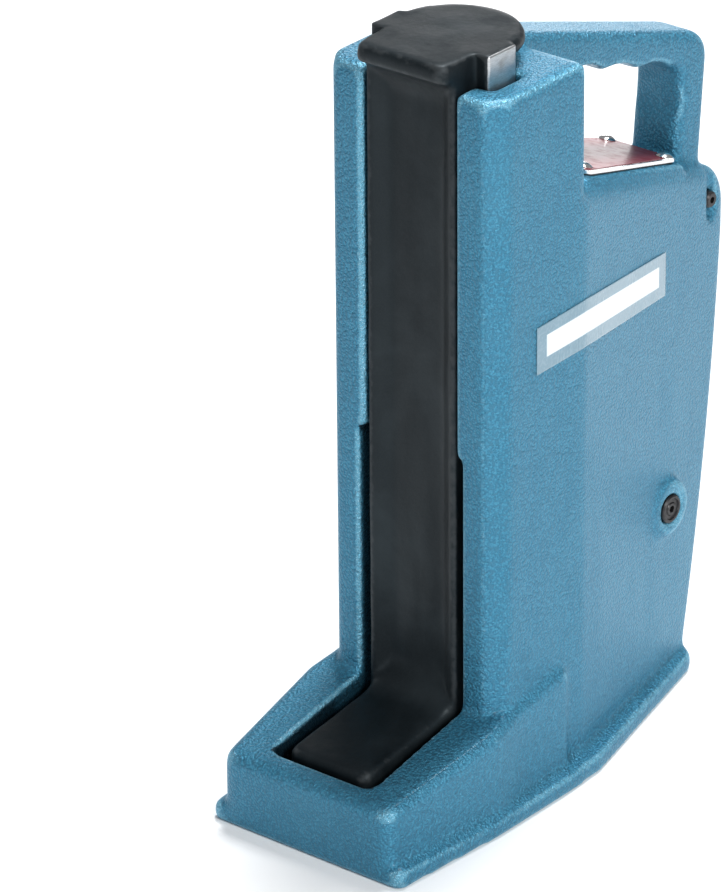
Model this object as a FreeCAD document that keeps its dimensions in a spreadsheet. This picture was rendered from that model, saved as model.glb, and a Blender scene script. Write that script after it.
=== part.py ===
import FreeCAD, Part
import math
import os
import re
import Sketcher

# A self-contained hydraulic toe jack.  Millimetres, +Z up, front towards -Y.
# The model is laid out with Y = 0 on the tower's front face and the floor at Z = 0;
# every sub-part is then placed by the same shift, so that the origin is under the middle.

V = FreeCAD.Vector
doc = FreeCAD.newDocument("ToeJack")
sheet = doc.addObject("Spreadsheet::Sheet", "Dimensions")

dimensions = [
    # the cast body
    ("baseFront", 77.0), ("baseRear", 180.0), ("flangeThick", 9.0),
    ("flangeFrontHalf", 55.2), ("flangeMidHalf", 60.2), ("flangeKneeHalf", 58.6),
    ("flangeKneeY", 68.0), ("flangeRearHalf", 30.0),
    ("blockFrontHalf", 49.0), ("blockMidHalf", 56.0), ("blockStripHalf", 53.0),
    ("blockRear", 52.0), ("rampFrontZ", 36.4), ("rampRise", 0.2),
    ("towerFaceHalf", 42.1), ("towerHalf", 49.2), ("towerChamferY", 10.3),
    ("towerBack", 66.0), ("towerTop", 353.6),
    ("pumpTaper", 0.2235), ("pumpTopZ", 292.5), ("topFall", 0.318),
    ("pumpRear", 219.3), ("rearArc", 1070.0), ("rearArcTop", 214.0),
    ("shoulderY", 203.0), ("shoulderLow", 228.0), ("shoulderArc", 24.0),
    # the slots in the tower and the toe's pocket
    ("slotHalf", 26.1), ("wideSlotHalf", 29.5), ("wideSlotTop", 178.0),
    ("teeHalf", 35.2), ("teeFront", 14.6), ("teeBack", 36.6),
    ("boreY", 34.0), ("boreRadius", 24.7),
    ("pocketHalf", 29.3), ("pocketFront", 64.2),
    # the handle
    ("handleHalf", 14.0), ("barTopZ", 358.3), ("barUnderZ", 337.5), ("barUnderFall", 0.295),
    ("barLip", 63.6), ("postInnerLow", 178.5), ("postInnerHigh", 185.0),
    ("postOuterLow", 200.0), ("postOuterHigh", 206.8), ("cornerArc", 14.0),
    ("fingerPitch", 25.5), ("fingerFirst", 82.4), ("fingerRadius", 26.0), ("fingerDepth", 2.5),
    # the base plate and its screws
    ("plateThick", 6.0), ("plateInset", 5.0), ("plateScrewRadius", 2.5),
    # the claw
    ("clawHalf", 25.3), ("clawFront", 0.4), ("channelHalf", 14.6), ("channelDepth", 6.3),
    ("ribHalf", 33.0), ("ribFront", 15.2), ("ribBack", 35.8), ("clawBottom", 24.0),
    ("headTop", 368.0), ("headBottom", 354.4), ("headRadius", 31.0), ("headFront", 6.9),
    ("barrelRadius", 24.0), ("cylinderRadius", 19.0), ("cylinderTop", 349.0),
    ("toeHalf", 23.2), ("toeFront", 61.0), ("toeBottom", 9.0), ("toeTipZ", 40.6),
    ("toeRise", 0.135), ("toeRootArc", 13.0),
    # the ram inside the claw
    ("ramRadius", 16.0), ("ramBore", 8.2), ("ramTop", 338.0), ("glandTop", 46.0),
    ("runningGap", 0.05),
    # the hydraulic block, pump and valves
    ("tongueTop", 22.0), ("tongueHalf", 23.5), ("blockHalf", 15.5), ("pumpBlockFront", 74.0),
    ("pumpBlockRear", 174.0), ("pumpBlockTop", 110.0),
    ("seatRear", 178.5), ("seatBottom", 62.0), ("seatHalf", 12.5), ("plungerY", 166.5),
    ("plungerRadius", 5.5), ("pumpBarrelRadius", 9.5), ("pumpBarrelTop", 172.0),
    ("valveY", 155.5), ("bossRadius", 14.4), ("bossFace", 33.2),
    ("releaseZ", 93.8), ("releaseRadius", 7.0), ("spindleRadius", 3.4),
    # the lever socket
    ("pivotY", 203.5), ("pivotZ", 231.5), ("socketHalf", 9.2), ("socketBore", 7.0),
    ("socketMouth", 216.0), ("pivotRadius", 3.0), ("recessHalf", 4.2), ("recessDepth", 2.6),
    # the reservoir cover on the sloping top
    ("padRise", 2.2), ("gasketThick", 0.8), ("coverThick", 1.6), ("coverFront", 84.0),
    ("coverRear", 174.0), ("coverFrontHalf", 36.0), ("coverRearHalf", 19.0),
    ("fillerY", 112.0), ("fillerZ", 206.0), ("wall", 6.0), ("originY", 71.15),
]
for row, (alias, value) in enumerate(dimensions, start=1):
    sheet.set("A%d" % row, alias)
    sheet.set("B%d" % row, str(value))
    sheet.setAlias("B%d" % row, alias)
doc.recompute()

words = re.compile(r"\b(" + "|".join(name for name, _ in dimensions) + r")\b")
nodes = []
failures = []


def expr(text):
    """The text as an expression on the sheet, where cells are written by their bare names."""
    return words.sub(r"Dimensions.\1", str(text))


def size(text):
    """The present value of such an expression."""
    return float(sheet.evalExpression(expr(text)))


def outline(body, name, plane, points, start):
    """A closed sketch through (u, v) points, each held by two bound dimensions.

    A third entry is the radius of the arc that arrives at the point, positive where it
    bulges to the right of the way from the last point to this one."""
    sketch = body.newObject("Sketcher::SketchObject", name)
    role = {"XY": "XY_Plane", "YZ": "YZ_Plane", "XZ": "XZ_Plane"}[plane]
    sketch.AttachmentSupport = [(next(f for f in body.Origin.OriginFeatures if f.Role == role), "")]
    sketch.MapMode = "FlatFace"
    sketch.setExpression("AttachmentOffset.Base.z", expr(start))
    spots = [V(size(p[0]), size(p[1]), 0) for p in points]
    starts = []
    ends = []
    for i, spot in enumerate(spots):
        after = (i + 1) % len(spots)
        if len(points[after]) == 2:
            sketch.addGeometry(Part.LineSegment(spot, spots[after]))
            starts.append((i, 1))
            ends.append((i, 2))
            continue
        radius = size(points[after][2])
        chord = spots[after] - spot
        side = V(chord.y, -chord.x, 0).normalize()
        reach = math.sqrt(radius * radius - chord.Length ** 2 / 4)
        centre = (spot + spots[after]) * 0.5 - side * math.copysign(reach, radius)
        ring = Part.Circle(centre, V(0, 0, 1), abs(radius))
        first = math.atan2(spot.y - centre.y, spot.x - centre.x)
        last = math.atan2(spots[after].y - centre.y, spots[after].x - centre.x)
        if radius > 0:
            sketch.addGeometry(Part.ArcOfCircle(ring, first, last))
            starts.append((i, 1))
            ends.append((i, 2))
        else:
            sketch.addGeometry(Part.ArcOfCircle(ring, last, first))
            starts.append((i, 2))
            ends.append((i, 1))
    for i, point in enumerate(points):
        before = (i - 1) % len(points)
        sketch.addConstraint(Sketcher.Constraint("Coincident", *ends[before], *starts[i]))
        for kind, text, value in (("DistanceX", point[0], spots[i].x), ("DistanceY", point[1], spots[i].y)):
            held = sketch.addConstraint(Sketcher.Constraint(kind, -1, 1, *starts[i], value))
            sketch.setExpression("Constraints[%d]" % held, expr(text))
        if len(point) == 3:
            held = sketch.addConstraint(Sketcher.Constraint("Radius", before, abs(size(point[2]))))
            sketch.setExpression("Constraints[%d]" % held, expr("abs(%s)" % point[2]))
    return sketch


def prism(name, plane, points, start, length):
    """One outline padded along its plane's normal."""
    body = doc.addObject("PartDesign::Body", name)
    sketch = outline(body, name + "_outline", plane, points, start)
    pad = body.newObject("PartDesign::Pad", name + "_pad")
    pad.Profile = sketch
    pad.setExpression("Length", expr(length))
    sketch.Visibility = False
    return body


def turned(name, points, place, turn=None):
    """A (radius, height) outline revolved about its own Z axis, then placed."""
    body = doc.addObject("PartDesign::Body", name)
    sketch = outline(body, name + "_outline", "XZ", points, "0")
    revolution = body.newObject("PartDesign::Revolution", name + "_revolution")
    revolution.Profile = sketch
    revolution.ReferenceAxis = (sketch, ["V_Axis"])
    revolution.Angle = 360.0
    for axis, text in zip("xyz", place):
        body.setExpression("Placement.Base.%s" % axis, expr(text))
    if turn:
        body.Placement = FreeCAD.Placement(body.Placement.Base, turn)
    return body


def box(name, x, y, z):
    """A block between two bounds on each axis."""
    solid = doc.addObject("Part::Box", name)
    for side, axis, (low, high) in zip(("Length", "Width", "Height"), "xyz", (x, y, z)):
        solid.setExpression(side, expr("(%s) - (%s)" % (high, low)))
        solid.setExpression("Placement.Base.%s" % axis, expr(low))
    return solid


TURNS = {"x": FreeCAD.Rotation(V(0, 1, 0), 90), "y": FreeCAD.Rotation(V(1, 0, 0), -90),
         "z": FreeCAD.Rotation(), "-x": FreeCAD.Rotation(V(0, 1, 0), -90)}


def rod(name, way, start, radius, length):
    """A cylinder from a start point along an axis."""
    solid = doc.addObject("Part::Cylinder", name)
    solid.Placement = FreeCAD.Placement(V(0, 0, 0), TURNS[way])
    for axis, text in zip("xyz", start):
        solid.setExpression("Placement.Base.%s" % axis, expr(text))
    solid.setExpression("Radius", expr(radius))
    solid.setExpression("Height", expr(length))
    return solid


def fuse(name, solids, refine=True):
    """The solids joined into one."""
    joined = doc.addObject("Part::MultiFuse", name)
    joined.Shapes = solids
    joined.Refine = refine
    return joined


def cut(name, base, tools):
    """The base with the tools' volume taken away."""
    rest = doc.addObject("Part::Cut", name)
    rest.Base = base
    rest.Tool = tools[0] if len(tools) == 1 else fuse(name + "_tools", tools, False)
    return rest


def drill(name, base, tools):
    """Cuts the tools one after another, for bores that meet inside a block."""
    for tool in tools:
        base = cut("%s_%s" % (name, tool.Name), base, [tool])
    return base


def common(name, first, second):
    """The volume that two solids share."""
    shared = doc.addObject("Part::Common", name)
    shared.Base = first
    shared.Tool = second
    return shared


def group(name, solids):
    """Separate solids of one kind, kept in one node."""
    together = doc.addObject("Part::Compound", name)
    together.Links = solids
    return together


def soften(name, base, radius, pick):
    """Rounds the edges whose middle point and direction the pick function accepts."""
    doc.recompute()
    edges = []
    for number, edge in enumerate(base.Shape.Edges, start=1):
        middle = edge.valueAt((edge.FirstParameter + edge.LastParameter) / 2)
        way = edge.tangentAt((edge.FirstParameter + edge.LastParameter) / 2)
        if pick(middle, way, edge):
            edges.append((number, size(radius), size(radius)))
    rounded = doc.addObject("Part::Fillet", name)
    rounded.Base = base
    rounded.Edges = edges
    doc.recompute()
    if rounded.Shape.isNull() or not rounded.Shape.isValid() or not edges:
        failures.append("%s: %d edges not rounded" % (name, len(edges)))
    return rounded


def node(solid, label):
    """Files a finished sub-part under its name; one placed by its own cells is wrapped first."""
    if any("Placement" in path for path, _ in solid.ExpressionEngine):
        solid = group(label + "_placed", [solid])
    nodes.append((solid, label))
    solid.Label = label


def mirrored(points):
    """A right-hand outline, listed front to back, closed by its own mirror image."""
    left = [("-(%s)" % x, y) for x, y in reversed(points)]
    return points + left


# ---------------------------------------------------------------- the cast body
shoulderHeight = 230
rampEndZ = "rampFrontZ + rampRise * (baseFront + blockRear + 5)"
pumpTop = "pumpTopZ - topFall * (%s - towerBack)"
sideAt = "towerHalf - pumpTaper * (%s - towerBack)"

flange = prism("Flange", "XY", mirrored([
    ("flangeFrontHalf", "-baseFront"), ("flangeMidHalf", "-8"), ("flangeMidHalf", "40"),
    ("flangeKneeHalf", "flangeKneeY"), ("flangeRearHalf", "baseRear + 1")]), "0", "flangeThick")
flangeCorners = soften("FlangeCorners", flange, "12", lambda p, w, e: abs(w.z) > 0.9 and p.y > 150)
flangeFront = soften("FlangeFront", flangeCorners, "5", lambda p, w, e: abs(w.z) > 0.9 and p.y < -70)
flangeKnee = soften("FlangeKnee", flangeFront, "14", lambda p, w, e: abs(w.z) > 0.9 and 60 < p.y < 75)
flangeSoft = soften("FlangeSoft", flangeKnee, "2.5", lambda p, w, e: p.z > 8 and abs(w.z) < 0.1
                    and p.y > -76.5)

blockPlan = prism("BlockPlan", "XY", mirrored([
    ("blockFrontHalf", "-baseFront"), ("blockMidHalf", "-5"), ("blockStripHalf", "17"),
    ("blockStripHalf", "blockRear")]), "0", "80")
blockSide = prism("BlockSide", "YZ", [
    ("-baseFront - 5", "0"), ("blockRear + 5", "0"), ("blockRear + 5", rampEndZ),
    ("-baseFront - 5", "rampFrontZ - rampRise * 5")], "-70", "140")
block = common("Block", blockPlan, blockSide)
blockCorners = soften("BlockCorners", block, "8", lambda p, w, e: abs(w.z) > 0.9 and p.y < -70)
blockEnds = soften("BlockEnds", blockCorners, "3", lambda p, w, e: abs(w.z) > 0.9 and p.y > 50)
blockSoft = soften("BlockSoft", blockEnds, "6", lambda p, w, e: p.z > 30 and abs(w.z) < 0.9 and p.y < 51)

tower = prism("Tower", "XY", mirrored([
    ("towerFaceHalf", "0"), ("towerHalf", "towerChamferY"), ("towerHalf", "towerBack")]), "1", "towerTop - 1")
towerEdges = soften("TowerEdges", tower, "1.6", lambda p, w, e: abs(w.z) > 0.9 and p.y < 20)
towerRear = soften("TowerRear", towerEdges, "3", lambda p, w, e: abs(w.z) > 0.9 and p.y > 60)
towerSoft = soften("TowerSoft", towerRear, "3", lambda p, w, e: p.z > 350)

pumpPlan = prism("PumpPlan", "XY", mirrored([
    ("towerHalf", "60"), ("towerHalf", "towerBack"), (sideAt % "235", "235")]), "1", "300")
pumpSide = prism("PumpSide", "YZ", [
    ("50", "0"), ("baseRear", "0"), ("pumpRear", "rearArcTop", "rearArc"), ("pumpRear", "shoulderLow"),
    ("shoulderY", pumpTop % "shoulderY", "shoulderArc"), ("50", pumpTop % "50")], "-70", "140")
pump = common("Pump", pumpPlan, pumpSide)
pumpCorners = soften("PumpCorners", pump, "8.5", lambda p, w, e: p.y > 185 and p.z < shoulderHeight
                     and abs(p.x) > 10 and abs(w.z) > 0.8)

barTop = "barTopZ - topFall * (%s - towerBack)"
barUnder = "barUnderZ - barUnderFall * (%s - towerBack)"
handle = prism("Handle", "YZ", [
    ("60", barUnder % "60"), ("postInnerHigh", barUnder % "postInnerHigh"), ("postInnerLow", "235"),
    ("postOuterLow", "235"), ("postOuterHigh", barTop % "postOuterHigh"),
    ("barLip", barTop % "barLip"), ("barLip", "towerTop - 4"), ("60", "towerTop - 4")],
    "-handleHalf", "2 * handleHalf")
handleOuter = soften("HandleOuter", handle, "cornerArc", lambda p, w, e: abs(w.x) > 0.9
                     and p.y > 200 and p.z > 290)
handleInner = soften("HandleInner", handleOuter, "8", lambda p, w, e: abs(w.x) > 0.9 and 180 < p.y < 190
                     and p.z > 290)
handleSoft = soften("HandleSoft", handleInner, "5", lambda p, w, e: abs(abs(p.x) - size("handleHalf")) < 0.01
                    and p.y > 66 and p.z > 236)
fingers = [rod("Finger%d" % i, "x", ("-40", "fingerFirst + %d * fingerPitch" % i,
               barUnder % ("(fingerFirst + %d * fingerPitch)" % i) + " + fingerDepth - fingerRadius"),
               "fingerRadius", "80") for i in range(4)]
handleGrip = cut("HandleGrip", handleSoft, fingers)

padPlan = prism("PadPlan", "XY", mirrored([
    ("coverFrontHalf + 4", "coverFront - 6"), ("coverRearHalf + 3", "coverRear + 3")]), "220", "100")
padSide = prism("PadSide", "YZ", [
    ("60", pumpTop % "60" + " - 4"), ("200", pumpTop % "200" + " - 4"),
    ("200", pumpTop % "200" + " + padRise"), ("60", pumpTop % "60" + " + padRise")], "-60", "120")
pad = soften("PadSoft", common("Pad", padPlan, padSide), "1.5", lambda p, w, e: abs(w.x) > 0.9
             or abs(w.y) > 0.9)
boss = rod("Boss", "x", ("10", "valveY", "releaseZ"), "bossRadius", "bossFace - 10")
bossSoft = soften("BossSoft", boss, "2", lambda p, w, e: p.x > 30 and e.Closed)

fillerBoss = rod("FillerBoss", "-x", ("-20", "fillerY", "fillerZ"), "11", "22.5")
fillerSoft = soften("FillerBossSoft", fillerBoss, "1.5", lambda p, w, e: p.x < -40 and e.Closed)

shell = fuse("CastingOuter", [flangeSoft, blockSoft, towerSoft, pumpCorners, handleGrip, pad, bossSoft,
                              fillerSoft])

clawSlots = [
    box("FrontSlot", ("-slotHalf", "slotHalf"), ("-20", "boreY"), ("plateThick", "towerTop + 5")),
    box("WideSlot", ("-wideSlotHalf", "wideSlotHalf"), ("-20", "teeFront + 1"),
        ("plateThick", "wideSlotTop")),
    box("TeeSlot", ("-teeHalf", "teeHalf"), ("teeFront", "teeBack"), ("plateThick", "towerTop + 5")),
    rod("ClawBore", "z", ("0", "boreY", "plateThick"), "boreRadius", "towerTop"),
]
pocket = soften("PocketSoft", box("Pocket", ("-pocketHalf", "pocketHalf"), ("-pocketFront", "5"),
                ("plateThick", "80")), "5", lambda p, w, e: abs(w.z) > 0.9 and p.y < -60)
inner = "(%s - wall)" % sideAt
reservoirPlan = prism("ReservoirPlan", "XY", mirrored([
    (inner % "towerBack", "towerBack + wall"), (inner % "150", "150")]), "plateThick", "300")
reservoirSide = prism("ReservoirSide", "YZ", [
    ("60", "plateThick"), ("160", "plateThick"), ("160", pumpTop % "160" + " - 7"),
    ("60", pumpTop % "60" + " - 7")], "-60", "120")
reservoir = common("ReservoirSpace", reservoirPlan, reservoirSide)
fillMouth = box("CoverMouth", ("-15", "15"), ("coverFront + 14", "148"), ("200", "300"))
blockSpace = box("BlockSpace", ("-blockHalf - 1", "blockHalf + 1"), ("70", "pumpBlockRear + 0.5"),
                 ("plateThick", "pumpBlockTop + 0.5"))
seatSpace = box("SeatSpace", ("-seatHalf - 0.5", "seatHalf + 0.5"), ("pumpBlockRear - 4", "seatRear + 0.5"),
                ("seatBottom - 0.5", "pumpBlockTop + 0.5"))
tongueSpace = box("TongueSpace", ("-tongueHalf - 1", "tongueHalf + 1"), ("boreY", "80"),
                  ("plateThick", "tongueTop + 0.8"))
leverSpace = box("LeverSpace", ("-12", "12"), ("154", "190"), ("pumpBlockTop", "249"))
mouthSpace = box("LeverMouth", ("-socketHalf - 0.5", "socketHalf + 0.5"), ("189", "235"),
                 ("pivotZ - 19", "243.5"))
mouthTop = box("LeverMouthTop", ("-socketHalf - 0.5", "socketHalf + 0.5"), ("pivotY", "235"),
               ("pivotZ", "270"))
plateSpace = prism("PlateSpace", "XY", mirrored([
    ("flangeFrontHalf - plateInset", "-baseFront + plateInset"), ("flangeMidHalf - plateInset", "-8"),
    ("flangeMidHalf - plateInset", "40"), ("flangeKneeHalf - plateInset", "flangeKneeY"),
    ("flangeRearHalf - plateInset", "baseRear - plateInset")]), "-1", "plateThick + 1")
recesses = []
for label, low, high in (("Right", sideAt % "pivotY" + " - recessDepth", "40"),
                         ("Left", "-40", "-(" + sideAt % "pivotY" + " - recessDepth)")):
    recesses.append(box("Recess" + label, (low, high), ("pivotY - recessHalf", "pivotY + recessHalf"),
                        ("pivotZ - 6", "270")))
    recesses.append(rod("RecessFoot" + label, "x", (low, "pivotY", "pivotZ - 6"), "recessHalf",
                        "(%s) - (%s)" % (high, low)))
pivotHoles = rod("PivotHoles", "x", ("-30", "pivotY", "pivotZ"), "pivotRadius + 1", "60")
releaseHole = rod("ReleaseHole", "x", ("10", "valveY", "releaseZ"), "releaseRadius", "40")
fillerHole = rod("FillerHole", "-x", ("-10", "fillerY", "fillerZ"), "6", "60")
plateSpots = [(side * x, y) for x, y in ((44, -66), (44, 20), (42, 56), (21, 165)) for side in (1, -1)]
plateHoles = [rod("PlateThread%d" % i, "z", (str(x), str(y), "0"), "plateScrewRadius", "24")
              for i, (x, y) in enumerate(plateSpots)]
coverSpots = [(side * x, y) for x, y in ((28, 91), (16.5, 168)) for side in (1, -1)]
slopeAngle = math.atan(size("topFall"))
TURNS["cover"] = FreeCAD.Rotation(V(1, 0, 0), -math.degrees(slopeAngle))
coverLean = "%.5f" % math.sin(slopeAngle)
coverRise = "%.5f" % math.cos(slopeAngle)
gasketTop = "padRise + gasketThick"
coverTop = "padRise + gasketThick + coverThick"


def coverRods(name, radius, below, length):
    """Rods square to the sloping top at the cover's screws, from below the cover's face."""
    made = []
    for i, (x, y) in enumerate(coverSpots):
        start = (str(x), "%s - %s * %s" % (y, below, coverLean),
                 "%s + %s - %s * %s" % (pumpTop % y, coverTop, below, coverRise))
        made.append(rod("%s%d" % (name, i), "cover", start, radius, length))
    return made


coverHoles = coverRods("CoverThread", "2", "10", "30")
spaces = [pocket, reservoir, fillMouth, blockSpace, seatSpace, tongueSpace, leverSpace, mouthSpace,
          mouthTop, plateSpace, pivotHoles, releaseHole, fillerHole]
node(cut("BodyCasting", shell, clawSlots + spaces + recesses + plateHoles + coverHoles), "body_casting")

# ---------------------------------------------------------------- the base plate
plateGap = "plateInset - 0.3"
platePlan = prism("PlatePlan", "XY", mirrored([
    ("flangeFrontHalf - " + plateGap, "-baseFront + plateInset + 0.3"),
    ("flangeMidHalf - " + plateGap, "-8"), ("flangeMidHalf - " + plateGap, "40"),
    ("flangeKneeHalf - " + plateGap, "flangeKneeY"),
    ("flangeRearHalf - " + plateGap, "baseRear - " + plateGap)]), "0", "plateThick")
plateBores = []
plateScrews = []
for i, (x, y) in enumerate(plateSpots):
    under = (str(x), str(y), "-1")
    plateBores.append(rod("PlateBore%d" % i, "z", under, "plateScrewRadius + 0.25", "20"))
    plateBores.append(rod("PlateCounterbore%d" % i, "z", under, "plateScrewRadius + 2.1", "5.2"))
    head = rod("PlateScrewHead%d" % i, "z", (str(x), str(y), "0.6"), "plateScrewRadius + 1.8", "3.6")
    shank = rod("PlateScrewShank%d" % i, "z", (str(x), str(y), "2"), "plateScrewRadius - 0.05", "20")
    key = rod("PlateScrewKey%d" % i, "z", (str(x), str(y), "0"), "1.6", "2.8")
    plateScrews.append(cut("PlateScrew%d" % i, fuse("PlateScrewSolid%d" % i, [head, shank]), [key]))
node(cut("BasePlate", platePlan, plateBores), "base_plate")
node(group("BaseScrews", plateScrews), "base_screws")

# ---------------------------------------------------------------- the claw
column = prism("Column", "XY", mirrored([
    ("channelHalf", "clawFront + channelDepth"), ("clawHalf - 2", "clawFront"),
    ("clawHalf", "clawFront + 1.5"), ("clawHalf", "ribFront"), ("ribHalf", "ribFront"),
    ("ribHalf", "ribBack"), ("15", "ribBack")]), "clawBottom", "headTop - clawBottom")
columnSoft = soften("ColumnSoft", column, "2.5", lambda p, w, e: abs(w.z) > 0.9 and p.y < 9
                    and abs(p.x) < 24)
barrel = rod("Barrel", "z", ("0", "boreY", "clawBottom"), "barrelRadius", "headBottom - clawBottom")
headPlan = prism("HeadFront", "XY", mirrored([
    ("clawHalf - 3.5", "-headFront"), ("clawHalf", "-headFront + 3.5"), ("clawHalf", "boreY")]),
    "headTop - 9", "9")
headSoft = soften("HeadFrontSoft", headPlan, "3", lambda p, w, e: p.z > 367.5 and p.y < 30)
headDisc = turned("HeadDisc", [("0", "-8"), ("22", "-8"), ("23.8", "0"), ("headRadius", "7.6", "-9"),
                  ("headRadius", "10"), ("headRadius - 3.5", "headTop - headBottom", "3.6"),
                  ("0", "headTop - headBottom")], ("0", "boreY", "headBottom"))
headNeck = prism("HeadNeck", "YZ", [
    ("clawFront + channelDepth + 3", "headTop - 32"), ("clawFront + channelDepth + 3", "headTop - 5"),
    ("-headFront + 1", "headTop - 5"), ("-headFront + 1", "headTop - 9"),
    ("clawFront + channelDepth", "headTop - 32", "-21")], "-clawHalf + 1.2", "2 * clawHalf - 2.4")
toeTop = "toeTipZ + toeRise * (toeFront + (%s))"
toe = prism("Toe", "YZ", [
    ("12", "toeBottom"), ("12", "80"), ("clawFront + channelDepth", "toeTipZ + 25"),
    ("-9", toeTop % "-9", "-toeRootArc * 1.4"), ("-toeFront", toeTop % "-toeFront"),
    ("-toeFront", "toeBottom + 3"), ("-toeFront + 3", "toeBottom")], "-toeHalf", "2 * toeHalf")
toeCorners = soften("ToeCorners", toe, "5", lambda p, w, e: p.y < -60 and abs(w.z) > 0.9)
toeSoft = soften("ToeSoft", toeCorners, "4", lambda p, w, e: p.z > 30 and p.y < -9.1 and abs(w.z) < 0.9)
heel = box("Heel", ("-toeHalf", "toeHalf"), ("clawFront + channelDepth", "ribBack"), ("clawBottom", "50"))
clawSolid = fuse("ClawSolid", [columnSoft, barrel, headSoft, headDisc, headNeck, toeSoft, heel])
cylinder = rod("Cylinder", "z", ("0", "boreY", "clawBottom - 20"), "cylinderRadius",
               "cylinderTop - clawBottom + 20")
springHole = rod("SpringScrewHole", "z", ("0", "boreY", "cylinderTop - 1"), "3", "12")
node(cut("Claw", clawSolid, [cylinder, springHole]), "claw")

# ---------------------------------------------------------------- the ram and what rides on it


def ring(name, foot, outer, inner, length):
    """A plain ring about the ram's axis."""
    body = rod(name + "Outer", "z", ("0", "boreY", foot), outer, length)
    hole = rod(name + "Inner", "z", ("0", "boreY", foot + " - 1"), inner, "%s + 2" % length)
    return cut(name, body, [hole])


ramOuter = rod("RamOuter", "z", ("0", "boreY", "plateThick + 3"), "ramRadius", "ramTop - plateThick - 3")
ramHead = rod("RamHead", "z", ("0", "boreY", "ramTop - 22"), "cylinderRadius - runningGap", "22")
ramBore = rod("RamBore", "z", ("0", "boreY", "plateThick"), "ramBore", "400")
ramGroove = ring("RamGroove", "ramTop - 14", "cylinderRadius + 2", "ramRadius", "5")
ramPinHole = rod("RamPinHole", "x", ("-30", "boreY", "tongueTop + 6"), "1.75", "60")
ramSolid = fuse("RamSolid", [ramOuter, ramHead])
node(cut("RamTube", ramSolid, [ramBore, ramGroove, ramPinHole]), "ram_tube")
node(ring("RamSeal", "ramTop - 13.8", "cylinderRadius - 0.05", "ramRadius + 0.1", "4.6"), "ram_seal")
node(ring("GlandBush", "clawBottom + 5", "cylinderRadius", "ramRadius + runningGap",
          "glandTop - clawBottom - 5"), "gland_bush")
node(ring("WiperRing", "clawBottom + 0.5", "cylinderRadius - 0.1", "ramRadius + 0.35", "4.5"),
     "wiper_ring")
node(rod("SpringPin", "x", ("-ramRadius + 0.5", "boreY", "tongueTop + 6"), "1.7", "2 * ramRadius - 1"),
     "spring_pin")
eyeShank = rod("EyeShank", "z", ("0", "boreY", "ramTop - 4"), "2.9", "cylinderTop - ramTop + 12")
eyeCross = rod("EyeCross", "x", ("-2", "boreY", "ramTop - 8"), "4.5", "4")
eyeHole = rod("EyeHole", "x", ("-5", "boreY", "ramTop - 8"), "2.2", "10")
node(cut("SpringEye", fuse("EyeSolid", [eyeShank, eyeCross]), [eyeHole]), "spring_eye")


def coil(name, foot, top, radius, wire, turns):
    """A round wire wound about the ram's axis between two heights."""
    rise = (top - foot) / turns
    spine = Part.makeHelix(rise, top - foot, radius)
    circle = Part.Wire(Part.Circle(V(radius, 0, 0), V(0, 1, 0), wire).toShape())
    wound = Part.Wire(spine).makePipeShell([circle], True, True)
    feature = doc.addObject("Part::Feature", name)
    feature.Shape = wound
    feature.Placement = FreeCAD.Placement(V(0, size("boreY"), foot), FreeCAD.Rotation())
    return feature


node(coil("ReturnSpring", size("tongueTop + 11"), size("ramTop - 16"), 6.2, 1.1, 24), "return_spring")
strips = []
for side, (low, high) in enumerate((("ribHalf + 0.4", "teeHalf"), ("-teeHalf", "-ribHalf - 0.4"))):
    strips.append(box("GuideStrip%d" % side, (low, high), ("ribFront + 0.2", "ribBack - 0.2"),
                      ("30", "towerTop - 14")))
node(group("GuideStrips", strips), "guide_strips")

# ---------------------------------------------------------------- the hydraulic block and pump
tongue = box("Tongue", ("-tongueHalf", "tongueHalf"), ("boreY - 20", "pumpBlockFront"),
             ("plateThick", "tongueTop"))
blockBody = box("BlockBody", ("-blockHalf", "blockHalf"), ("pumpBlockFront - 1", "pumpBlockRear"),
                ("plateThick", "pumpBlockTop"))
seatBody = box("SeatBody", ("-seatHalf", "seatHalf"), ("pumpBlockRear - 4", "seatRear"),
               ("seatBottom", "pumpBlockTop"))
node(drill("PumpBlock", fuse("PumpBlockSolid", [tongue, blockBody, seatBody]), [
    rod("RamSeat", "z", ("0", "boreY", "plateThick + 3"), "ramRadius + 0.02", "40"),
    rod("MainGallery", "y", ("0", "boreY", "plateThick + 2.2"), "1.5", "106"),
    rod("DeliveryBore", "z", ("0", "138", "plateThick + 1"), "2.2", "30"),
    rod("DeliveryCage", "z", ("0", "140", "30"), "5", "90"),
    rod("PumpSeat", "z", ("0", "plungerY", "pumpBlockTop - 24"), "pumpBarrelRadius", "40"),
    rod("PumpFeed", "z", ("0", "plungerY", "plateThick + 30"), "2", "60"),
    rod("ReleaseCage", "x", ("10", "valveY", "releaseZ"), "releaseRadius", "30"),
    rod("ReleaseSeat", "x", ("4", "valveY - 4.5", "releaseZ"), "1.5", "10"),
    rod("SuctionCage", "-x", ("-4", "118", "60"), "4.5", "30"),
    rod("ReliefCage", "-x", ("-4", "94", "60"), "5", "30")]), "pump_block")
barrelLength = "pumpBarrelTop - pumpBlockTop + 24"
node(turned("PumpBarrel", [
    ("0.0", "0"), ("pumpBarrelRadius - 0.05", "0"), ("pumpBarrelRadius - 0.05", barrelLength),
    ("8", barrelLength), ("8", "8"), ("2", "8"), ("2", "4"), ("0.0", "4")],
    ("0", "plungerY", "pumpBlockTop - 24")), "pump_barrel")
node(cut("PumpGland", prism("GlandHex", "XY", [
    ("-11", "plungerY - 6.3"), ("0", "plungerY - 11.6"), ("11", "plungerY - 6.3"),
    ("11", "plungerY + 6.3"), ("0", "plungerY + 11.6"), ("-11", "plungerY + 6.3")], "pumpBarrelTop", "8"),
    [rod("GlandHole", "z", ("0", "plungerY", "100"), "plungerRadius + runningGap", "100")]), "pump_gland")
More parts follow.
